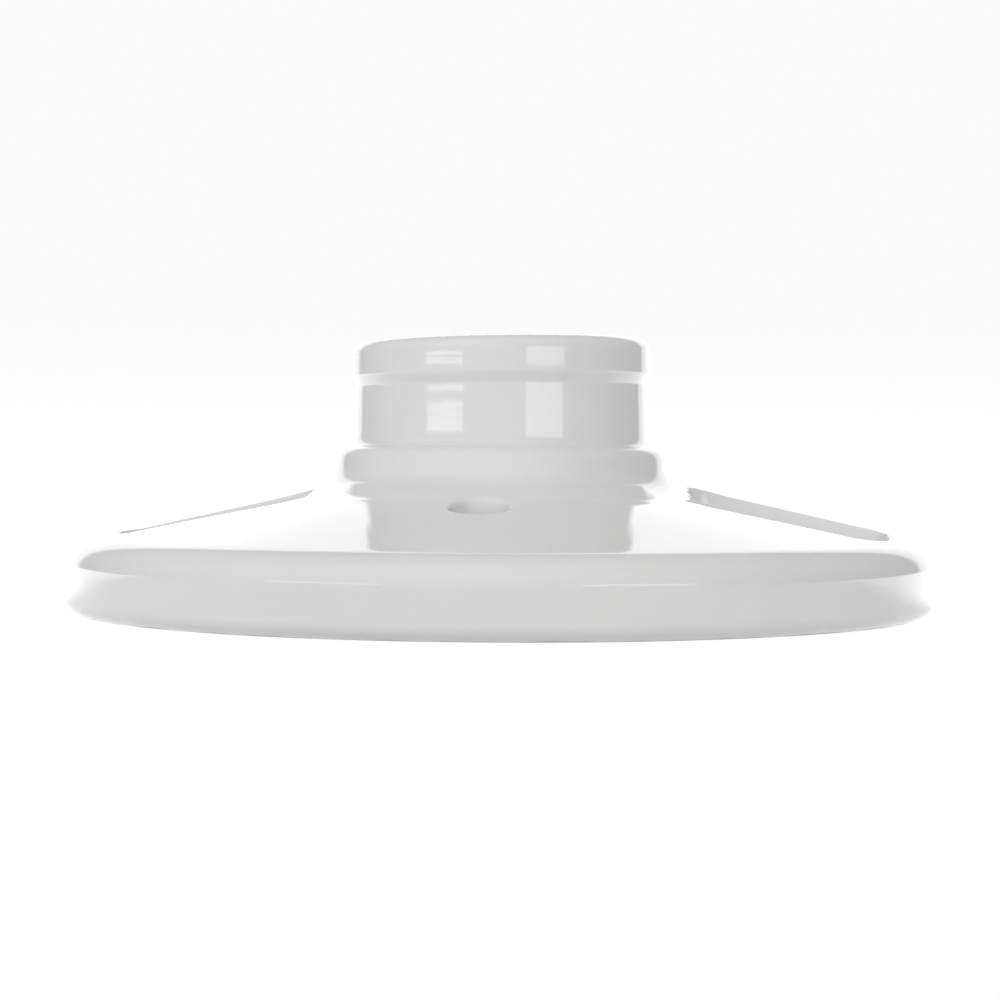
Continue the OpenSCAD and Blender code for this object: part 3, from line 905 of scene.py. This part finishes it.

# %% [markdown]
# ## The centre contact
# A short tongue of springy brass is riveted at its foot, climbs to the middle and carries a small
# dome that the lamp presses on. It is a flat strip with two bends, so its side view is drawn once and
# carried across its width in fine steps. The steps let the dome be pushed up and the corners be
# rounded off.

# %% Press the centre contact
LEAF_T, LEAF_W = 0.5, 5.2
LEAF_ROOT_Y, LEAF_TOP_Y = -3.75, -1.6
DIMPLE_R, DIMPLE_H = 1.2, 0.5
LEAF_CORNER, LEAF_STEPS = 1.3, 26

leaf_low, leaf_high = (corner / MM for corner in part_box("centre_contact"))
leaf_top = leaf_high.z - DIMPLE_H - LEAF_T
contact_rivet_y = sum(corner.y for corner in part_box("contact_rivet")) / 2 / MM

side_view = section(
    [
        (leaf_low.y, leaf_low.z, 0),
        (LEAF_ROOT_Y, leaf_low.z, 1),
        (LEAF_TOP_Y, leaf_top, 1),
        (leaf_high.y, leaf_top, 0),
    ],
    closed=False,
    span=0.2,
)
leaf = bmesh.new()
line = [leaf.verts.new((-LEAF_W / 2 * MM, p.x, p.y)) for p in side_view]
for a, b in zip(line, line[1:]):
    leaf.edges.new((a, b))
bmesh.ops.spin(
    leaf,
    geom=leaf.verts[:] + leaf.edges[:],
    cent=(0, 0, 0),
    axis=(0, 0, 1),
    dvec=(LEAF_W / LEAF_STEPS * MM, 0, 0),
    angle=0,
    steps=LEAF_STEPS,
)

# %% Shape its corners, dome and rivet hole
for v in leaf.verts:
    to_end = min(v.co.y / MM - leaf_low.y, leaf_high.y - v.co.y / MM)
    cut = LEAF_CORNER - math.sqrt(max(0, LEAF_CORNER**2 - max(0, LEAF_CORNER - to_end) ** 2))
    v.co.x *= 1 - cut / (LEAF_W / 2)
    off = math.hypot(v.co.x, v.co.y) / MM
    if off < DIMPLE_R:
        v.co.z += DIMPLE_H * MM * math.cos(math.pi / 2 * off / DIMPLE_R) ** 2

RIVET_HOLE_R = 1.25
hole = Vector((0, contact_rivet_y * MM, leaf_low.z * MM))
punched = [f for f in leaf.faces if (f.calc_center_median() - hole).length < RIVET_HOLE_R * MM]
bmesh.ops.delete(leaf, geom=punched, context="FACES")
for v in leaf.verts:
    if v.is_boundary and (v.co - hole).length < 1.3 * RIVET_HOLE_R * MM:
        v.co = hole + (v.co - hole).normalized() * RIVET_HOLE_R * MM
bmesh.ops.recalc_face_normals(leaf, faces=leaf.faces)
if leaf.faces[0].normal.z < 0:
    bmesh.ops.reverse_faces(leaf, faces=leaf.faces[:])
bmesh.ops.solidify(leaf, geom=leaf.faces[:], thickness=-LEAF_T * MM)
leaf_tops = [round(v.co.z / MM, 2) for v in leaf.verts]
print("leaf from", min(leaf_tops), "to", max(leaf_tops), "mm high")

contact_spring = as_object(leaf, "contact_spring", brass)
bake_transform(contact_spring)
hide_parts("centre_contact")

# %% [markdown]
# ## Rivets
# A tubular rivet goes through the shell's floor, the ceramic and a terminal plate, and its hollow end
# is rolled over underneath. A solid cylinder with two cones would do for strength, but the rolled
# collar with a hole in it is what one sees on the back of every lampholder, so the half section
# follows it. The burr under one rivet spreads the load on the ceramic.

# %% Turn the rivets
RIVET_R, RIVET_HEAD_H, RIVET_TAIL_H = 1.2, 0.8, 0.8
RIVET_BORE_R, RIVET_BORE_H = 0.65, 1.6


def middle_of(node):
    """The middle of a CAD node, its foot and its top, in metres."""
    low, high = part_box(node)
    return Vector(((low.x + high.x) / 2, (low.y + high.y) / 2, 0)), low.z, high.z


def rivet(node, name):
    """A tubular rivet in the place of a CAD rivet."""
    middle, foot, top = middle_of(node)
    foot, top = foot / MM, top / MM
    low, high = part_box(node)
    head_r = (high.x - low.x) / 2 / MM
    bm = spun(
        section(
            [
                (0, foot + RIVET_BORE_H, 0),
                (RIVET_BORE_R, foot + RIVET_BORE_H, 0.2),
                (RIVET_BORE_R, foot, 0.3),
                (head_r, foot, 0.35),
                (head_r, foot + RIVET_TAIL_H, 0.25),
                (RIVET_R, foot + RIVET_TAIL_H, 0),
                (RIVET_R, top - RIVET_HEAD_H, 0),
                (head_r, top - RIVET_HEAD_H, 0.1),
                (head_r, top - RIVET_HEAD_H / 3, 0.25),
                (head_r * 0.6, top, 0.6),
                (0, top, 0),
            ],
            closed=False,
            turn_step=math.radians(15),
            span=1,
        ),
        40,
        closed=False,
    )
    bmesh.ops.translate(bm, vec=middle, verts=bm.verts)
    piece(bm, name, "holder", copper, [node])


rivet("contact_rivet", "contact_rivet_turned")
rivet("shell_rivet_live", "shell_rivet_live_turned")
rivet("shell_rivet_blank", "shell_rivet_blank_turned")

# %% [markdown]
# ## Washers
# Washers are stamped, which leaves one edge slightly rounded and the other with a faint burr. Spinning
# a small rectangle with a radius at each corner gives the ring, its hole and edges that catch light.

# %% Spin the washers
def washer(node, name, body, material, hole_r, edge_r):
    """A flat ring in the place of a CAD washer."""
    middle, foot, top = middle_of(node)
    low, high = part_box(node)
    outer, foot, top = (high.x - low.x) / 2 / MM, foot / MM, top / MM
    bm = spun(
        section(
            [
                (hole_r, foot, edge_r),
                (outer, foot, edge_r),
                (outer, top, edge_r),
                (hole_r, top, edge_r),
            ],
            turn_step=math.radians(20),
            span=1,
        ),
        64,
    )
    bmesh.ops.translate(bm, vec=middle, verts=bm.verts)
    piece(bm, name, body, material, [node])


SHANK_R, SCREW_R = 1.75, 1.7
washer("rivet_burr", "rivet_burr_ring", "holder", copper, RIVET_R, 0.12)
washer("hot_washer", "hot_clamp_ring", "hot_clamp", brass, SHANK_R, 0.1)
washer(
    "neutral_washer", "neutral_clamp_ring", "neutral_clamp", nickel, SHANK_R, 0.1
)
for end in ("front", "back"):
    washer(f"head_washer_{end}", f"fibre_ring_{end}", "holder", fibre, SHANK_R, 0.08)

# %% [markdown]
# ## Screws
# The binding screws and assembly screws are slotted and have a rolled 6-32 thread. The thread is a
# real helix here: the shank is spun with eight rows to each pitch, and each point is drawn in by a
# wave that climbs with the turn. The slot is cut by splitting the head along three planes, taking out
# what lies between them, and closing the slot's walls and floor.

# %% Cut a screwdriver slot
SLOT_HALF, SLOT_DEPTH = 0.5, 0.9


def cut_slot(bm, floor, facing):
    """Cuts a slot along X into a head on the Z axis; facing is 1 for a slot in the top."""
    half = SLOT_HALF * MM
    for co, no in (((0, half, 0), (0, 1, 0)), ((0, -half, 0), (0, 1, 0)), ((0, 0, floor), (0, 0, 1))):
        everything = bm.verts[:] + bm.edges[:] + bm.faces[:]
        bmesh.ops.bisect_plane(bm, geom=everything, plane_co=co, plane_no=no, dist=1e-7)
    gone = []
    for face in bm.faces:
        c = face.calc_center_median()
        if abs(c.y) < half and (c.z - floor) * facing > 0:
            gone.append(face)
    bmesh.ops.delete(bm, geom=gone, context="FACES")
    near = 0.001 * MM
    rim = [e for e in bm.edges if e.is_boundary]
    ground = [e for e in rim if all(abs(v.co.z - floor) < near for v in e.verts)]
    for side in (-half, half):
        wall = [e for e in rim if all(abs(v.co.y - side) < near for v in e.verts)]
        ends = [v for v in {v for e in wall for v in e.verts} if abs(v.co.z - floor) < near]
        line = bm.edges.new(ends)
        ground.append(line)
        bmesh.ops.contextual_create(bm, geom=wall + [line])
    bmesh.ops.contextual_create(bm, geom=ground)


# %% Roll a thread on a shank
SCREW_PITCH = 25.4 / 32
THREAD_DEPTH = 0.42


def roll_thread(bm, radius, low, high):
    """Draws the wall of a shank on the Z axis in to a helical thread, sizes in millimetres."""
    for v in bm.verts:
        z, r = v.co.z / MM, math.hypot(v.co.x, v.co.y) / MM
        if r < radius - 0.01:
            continue
        turns = (z / SCREW_PITCH - math.atan2(v.co.y, v.co.x) / (2 * math.pi)) % 1
        valley = 1 - abs(2 * turns - 1)
        share = ease(z, low, low + SCREW_PITCH) * (1 - ease(z, high - SCREW_PITCH, high))
        v.co.x *= 1 - THREAD_DEPTH * valley * share / r
        v.co.y *= 1 - THREAD_DEPTH * valley * share / r


def join(bm, other):
    """Adds one mesh to another and frees it."""
    passing = bpy.data.meshes.new("passing")
    other.to_mesh(passing)
    other.free()
    bm.from_mesh(passing)
    bpy.data.meshes.remove(passing)


# %% Make the screws
TIP_CUT, HEAD_OVERLAP, SLOT_EDGE = 0.45, 0.2, 0.05


def screw(node, name, body, material, head, shank_r, head_up):
    """A slotted screw; head lists the corners of its head, counted from its bearing face."""
    middle, foot, top = middle_of(node)
    foot, top = foot / MM, top / MM
    head_h = max(c[1] for c in head)
    seat = top - head_h if head_up else foot + head_h
    side = 1 if head_up else -1
    bm = spun(
        section(
            [(r, seat + side * h, round_r) for r, h, round_r in head],
            closed=False,
            turn_step=math.radians(15),
            span=0.7,
        ),
        56,
        closed=False,
    )
    bmesh.ops.recalc_face_normals(bm, faces=bm.faces)
    cut_slot(bm, (seat + side * (head_h - SLOT_DEPTH)) * MM, side)
    sharp = [e for e in bm.edges if e.calc_face_angle(0) > math.radians(50)]
    bmesh.ops.bevel(
        bm,
        geom=sharp,
        offset=SLOT_EDGE * MM,
        affect="EDGES",
        segments=2,
        profile=0.5,
        material=-1,
    )
    tip = foot if head_up else top
    low, high = sorted((tip, seat + side * HEAD_OVERLAP))
    low_cut, high_cut = (TIP_CUT, 0) if head_up else (0, TIP_CUT)
    shank = spun(
        section(
            [
                (0, low, 0),
                (shank_r - low_cut, low, 0),
                (shank_r, low + low_cut, 0),
                (shank_r, high - high_cut, 0),
                (shank_r - high_cut, high, 0),
                (0, high, 0),
            ],
            closed=False,
            span=SCREW_PITCH / 8,
        ),
        48,
        closed=False,
    )
    roll_thread(shank, shank_r, low, high)
    join(bm, shank)
    bmesh.ops.translate(bm, vec=middle, verts=bm.verts)
    piece(bm, name, body, material, [node])


BINDING_HEAD = [(0, 0, 0), (3.6, 0, 0.15), (3.6, 1.35, 0.4), (2.6, 1.9, 1.2), (0, 1.9, 0)]
PAN_HEAD = [(0, 0, 0), (3.1, 0, 0.2), (3.1, 1.3, 0.8), (2, 1.7, 1), (0, 1.7, 0)]
screw(
    "hot_screw", "hot_binding_screw_cut", "hot_binding_screw", brass,
    BINDING_HEAD, SCREW_R, False,
)
screw(
    "neutral_screw", "neutral_binding_screw_cut", "neutral_binding_screw",
    nickel, BINDING_HEAD, SCREW_R, False,
)
for end in ("front", "back"):
    screw(
        f"assembly_screw_{end}", f"assembly_screw_{end}_cut", "holder",
        zinc, PAN_HEAD, SHANK_R, True,
    )

# %% [markdown]
# ## Nuts
# A hexagon nut is a bar's six flats with both ends turned to a cone, which leaves the curved line on
# each flat. It could be cut from a hexagon with a cone, but a chain of rings gives the same line: each
# ring is a circle or a hexagon with as many points, and the hexagon's corners are set lower by the
# cone's slope.

# %% Make the nuts
NUT_POINTS, NUT_SLOPE = 72, math.tan(math.radians(30))
NUT_FACE, NUT_LEAD = 0.96, 0.25


def nut_ring(bm, z, radius, slope=0):
    """A circle, or a hexagon with that distance across its corners when it has a slope."""
    made = bmesh.ops.create_circle(bm, segments=NUT_POINTS, radius=radius)["verts"]
    flat = radius * math.cos(math.radians(30))
    for v in made:
        v.co.z = z
        if slope:
            away = math.atan2(v.co.y, v.co.x) % (math.pi / 3) - math.pi / 6
            reach = flat / math.cos(away)
            v.co.x *= reach / radius
            v.co.y *= reach / radius
            v.co.z -= slope * (reach - flat * NUT_FACE)
    return set(made)


def nut(node, name):
    """A hexagon nut in the place of a CAD nut."""
    middle, foot, top = middle_of(node)
    low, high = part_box(node)
    corner_r, bore, lead = (high.x - low.x) / 2, SHANK_R * MM, NUT_LEAD * MM
    flat = corner_r * math.cos(math.radians(30))
    bm = bmesh.new()
    rings = [
        nut_ring(bm, foot, bore + lead),
        nut_ring(bm, foot + lead, bore),
        nut_ring(bm, top - lead, bore),
        nut_ring(bm, top, bore + lead),
        nut_ring(bm, top, flat * NUT_FACE),
        nut_ring(bm, top, corner_r, NUT_SLOPE),
        nut_ring(bm, foot, corner_r, -NUT_SLOPE),
        nut_ring(bm, foot, flat * NUT_FACE),
    ]
    for a, b in zip(rings, rings[1:] + rings[:1]):
        bmesh.ops.bridge_loops(bm, edges=edges_among(a) + edges_among(b))
    bmesh.ops.translate(bm, vec=middle, verts=bm.verts)
    made = piece(bm, name, "holder", zinc, [node])
    made.data.set_sharp_from_angle(angle=math.radians(28))


nut("assembly_nut_front", "assembly_nut_front_cut")
nut("assembly_nut_back", "assembly_nut_back_cut")

# %% [markdown]
# ## The base and the terminal plates
# The bar under the cover and the two plates have flat faces, pockets and holes that the frame already
# gives exactly. Drawing them again would only risk a difference, so a copy of each is merged, its
# flat faces are joined, and its edges are rounded: widely on the pressed ceramic, slightly on the
# stamped metal. Weighted normals keep the flat faces flat next to their rounded edges.

# %% Round the edges of a copied node
def softened(node, name, material, edge_r, segments):
    """A CAD node's own shape with rounded edges."""
    bm = bmesh.new()
    bm.from_mesh(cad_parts[node].data)
    bmesh.ops.remove_doubles(bm, verts=bm.verts, dist=0.001 * MM)
    bmesh.ops.dissolve_limit(bm, angle_limit=math.radians(1), verts=bm.verts, edges=bm.edges)
    sharp = [e for e in bm.edges if e.calc_face_angle(0) > math.radians(40)]
    bmesh.ops.bevel(
        bm,
        geom=sharp,
        offset=edge_r * MM,
        affect="EDGES",
        segments=segments,
        profile=0.5,
        material=-1,
        clamp_overlap=True,
    )
    made = piece(bm, name, "holder", material, [node])
    weighted = made.modifiers.new("flat faces stay flat", "WEIGHTED_NORMAL")
    weighted.keep_sharp = True


softened("terminal_base", "steatite_bar", steatite, 0.25, 3)
softened("hot_terminal", "hot_plate", brass, 0.1, 2)
softened("neutral_terminal", "neutral_plate", nickel, 0.1, 2)

# %% [markdown]
# ## The stage
# The floor is a bright white sheet lit so strongly that it swallows every shadow, and the wall
# behind is nearly as bright. The room in front is dimmer, which is why the near side of the porcelain
# looks grey and its edges, which mirror the wall behind, look white. Two windows of soft light stand
# in front and leave their shapes in the glaze.

# %% Floor
def bright_sheet(name, as_light, near_shine, far_shine):
    """A white sheet: how bright it is as light, and in the glaze in front of and behind the piece."""
    material, nodes, links = blank_material(name)

    place = nodes.new("ShaderNodeTexCoord")
    place.label = "place on the floor"
    place.location = (-1000, -100)
    depth = nodes.new("ShaderNodeSeparateXYZ")
    depth.label = "in front or behind"
    depth.location = (-820, -100)
    shine = nodes.new("ShaderNodeMapRange")
    shine.label = "brighter where the lamps shine, behind"
    shine.location = (-640, -100)
    shine.inputs["From Min"].default_value = 0
    shine.inputs["From Max"].default_value = 30 * MM
    shine.inputs["To Min"].default_value = near_shine
    shine.inputs["To Max"].default_value = far_shine
    seen = nodes.new("ShaderNodeLightPath")
    seen.label = "what the floor is seen for"
    seen.location = (-640, 300)
    softer = nodes.new("ShaderNodeMix")
    softer.label = "softer as light"
    softer.location = (-440, 0)
    softer.data_type = "FLOAT"
    softer.inputs["B"].default_value = as_light
    level = nodes.new("ShaderNodeMix")
    level.label = "white to the eye"
    level.location = (-240, 0)
    level.data_type = "FLOAT"
    level.inputs["B"].default_value = 1
    glow = nodes.new("ShaderNodeEmission")
    glow.label = "bright white sheet"
    glow.location = (0, 0)
    glow.inputs["Color"].default_value = (1, 1, 1, 1)
    nothing = nodes.new("ShaderNodeBsdfTransparent")
    nothing.label = "clear from below"
    nothing.location = (0, -150)
    side = nodes.new("ShaderNodeNewGeometry")
    side.label = "upper or lower side"
    side.location = (0, 300)
    mix = nodes.new("ShaderNodeMixShader")
    mix.label = "a sheet that is only there from above"
    mix.location = (250, 0)
    output = nodes.new("ShaderNodeOutputMaterial")
    output.label = "floor"
    output.location = (450, 0)
    links.new(place.outputs["Object"], depth.inputs["Vector"])
    links.new(depth.outputs["Y"], shine.inputs["Value"])
    links.new(shine.outputs["Result"], softer.inputs["A"])
    links.new(seen.outputs["Is Diffuse Ray"], softer.inputs["Factor"])
    links.new(softer.outputs["Result"], level.inputs["A"])
    links.new(seen.outputs["Is Camera Ray"], level.inputs["Factor"])
    links.new(level.outputs["Result"], glow.inputs["Strength"])
    links.new(side.outputs["Backfacing"], mix.inputs["Fac"])
    links.new(glow.outputs["Emission"], mix.inputs[1])
    links.new(nothing.outputs["BSDF"], mix.inputs[2])
    links.new(mix.outputs["Shader"], output.inputs["Surface"])
    return material


FLOOR_HALF, FLOOR_DROP = 3, 0.2 * MM

floor_mesh = bmesh.new()
bmesh.ops.create_grid(floor_mesh, x_segments=1, y_segments=1, size=FLOOR_HALF)
floor_data = bpy.data.meshes.new("floor")
floor_mesh.to_mesh(floor_data)
floor_mesh.free()
floor = bpy.data.objects.new("floor", floor_data)
floor.location.z = -FLOOR_DROP
floor_data.materials.append(bright_sheet("floor_sheet", as_light=0.45, near_shine=1.2, far_shine=2.2))
bpy.context.scene.collection.objects.link(floor)

# %% Light
world = bpy.data.worlds.new("room")
bpy.context.scene.world = world
world.use_nodes = True
room = world.node_tree
room.nodes.clear()
direction = room.nodes.new("ShaderNodeTexCoord")
direction.label = "direction"
direction.location = (-1100, 0)

sweep_frame = room.nodes.new("NodeFrame")
sweep_frame.label = "lit paper behind"
towards = room.nodes.new("ShaderNodeVectorMath")
towards.label = "how near to the middle of the paper"
towards.location = (-850, 100)
towards.parent = sweep_frame
towards.operation = "DOT_PRODUCT"
towards.inputs[1].default_value = (-0.07, 1, 0)
sweep = room.nodes.new("ShaderNodeMapRange")
sweep.label = "room to paper"
sweep.location = (-650, 100)
sweep.parent = sweep_frame
sweep.interpolation_type = "SMOOTHSTEP"
sweep.inputs["From Min"].default_value = 0.74
sweep.inputs["From Max"].default_value = 0.79
seen = room.nodes.new("ShaderNodeLightPath")
seen.label = "what the light is for"
seen.location = (-850, 500)
paper = room.nodes.new("ShaderNodeMix")
paper.label = "paper bright in the glaze, softer as light"
paper.location = (-450, 350)
paper.parent = sweep_frame
paper.data_type = "FLOAT"
paper.inputs["A"].default_value = 1.7
paper.inputs["B"].default_value = 0.65
surround = room.nodes.new("ShaderNodeMix")
surround.label = "paper within the dim room"
surround.location = (-250, 150)
surround.parent = sweep_frame
surround.data_type = "FLOAT"
front = room.nodes.new("ShaderNodeVectorMath")
front.label = "how near to the front of the room"
front.location = (-850, -150)
front.operation = "DOT_PRODUCT"
front.inputs[1].default_value = (-0.3, -0.95, 0)
front_level = room.nodes.new("ShaderNodeMapRange")
front_level.label = "dim sides, lighter front"
front_level.location = (-650, -150)
front_level.inputs["From Min"].default_value = -0.1
front_level.inputs["From Max"].default_value = 0.9
front_level.inputs["To Min"].default_value = 0.40
front_level.inputs["To Max"].default_value = 1.28
room.links.new(direction.outputs["Generated"], front.inputs[0])
room.links.new(front.outputs["Value"], front_level.inputs["Value"])
room.links.new(front_level.outputs["Result"], surround.inputs["A"])
room.links.new(direction.outputs["Generated"], towards.inputs[0])
room.links.new(towards.outputs["Value"], sweep.inputs["Value"])
room.links.new(seen.outputs["Is Diffuse Ray"], paper.inputs["Factor"])
room.links.new(sweep.outputs["Result"], surround.inputs["Factor"])
room.links.new(paper.outputs["Result"], surround.inputs["B"])

backdrop = room.nodes.new("ShaderNodeMix")
backdrop.label = "plain backdrop where it is seen directly"
backdrop.location = (0, 0)
backdrop.data_type = "FLOAT"
height = room.nodes.new("ShaderNodeSeparateXYZ")
height.label = "height of the direction"
height.location = (-450, -400)
fade_up = room.nodes.new("ShaderNodeMapRange")
fade_up.label = "white at the floor, a little darker above"
fade_up.location = (-250, -400)
fade_up.interpolation_type = "SMOOTHSTEP"
fade_up.inputs["From Max"].default_value = 0.06
fade_up.inputs["To Min"].default_value = 1
fade_up.inputs["To Max"].default_value = 0.965
room.links.new(direction.outputs["Generated"], height.inputs["Vector"])
room.links.new(height.outputs["Z"], fade_up.inputs["Value"])
room.links.new(fade_up.outputs["Result"], backdrop.inputs["B"])
shine = room.nodes.new("ShaderNodeBackground")
shine.label = "light of the room"
shine.location = (250, 0)
shine.inputs["Color"].default_value = (1, 1, 1, 1)
world_output = room.nodes.new("ShaderNodeOutputWorld")
world_output.label = "room"
world_output.location = (450, 0)
room.links.new(surround.outputs["Result"], backdrop.inputs["A"])
room.links.new(seen.outputs["Is Camera Ray"], backdrop.inputs["Factor"])
room.links.new(backdrop.outputs["Result"], shine.inputs["Strength"])
room.links.new(shine.outputs["Background"], world_output.inputs["Surface"])

# %% Windows
WINDOW_DISTANCE = 0.8


def soft_window(name, turn, height, size, radiance):
    """A rectangular light in front, at an angle round Z from the front, facing the axis."""
    data = bpy.data.lights.new(name, "AREA")
    data.shape = "RECTANGLE"
    data.size, data.size_y = size
    data.energy = radiance * math.pi * size[0] * size[1]
    light = bpy.data.objects.new(name, data)
    light.location = (WINDOW_DISTANCE * math.sin(turn), -WINDOW_DISTANCE * math.cos(turn), height)
    light.rotation_euler = (math.pi / 2, 0, turn)
    bpy.context.scene.collection.objects.link(light)


soft_window("right_window", math.radians(38), 0.077, (0.42, 0.056), 2.6)
soft_window("left_window", math.radians(-39), 0.072, (0.42, 0.024), 3.4)

view = bpy.context.scene.view_settings
view.view_transform = "Standard"
view.look = "None"
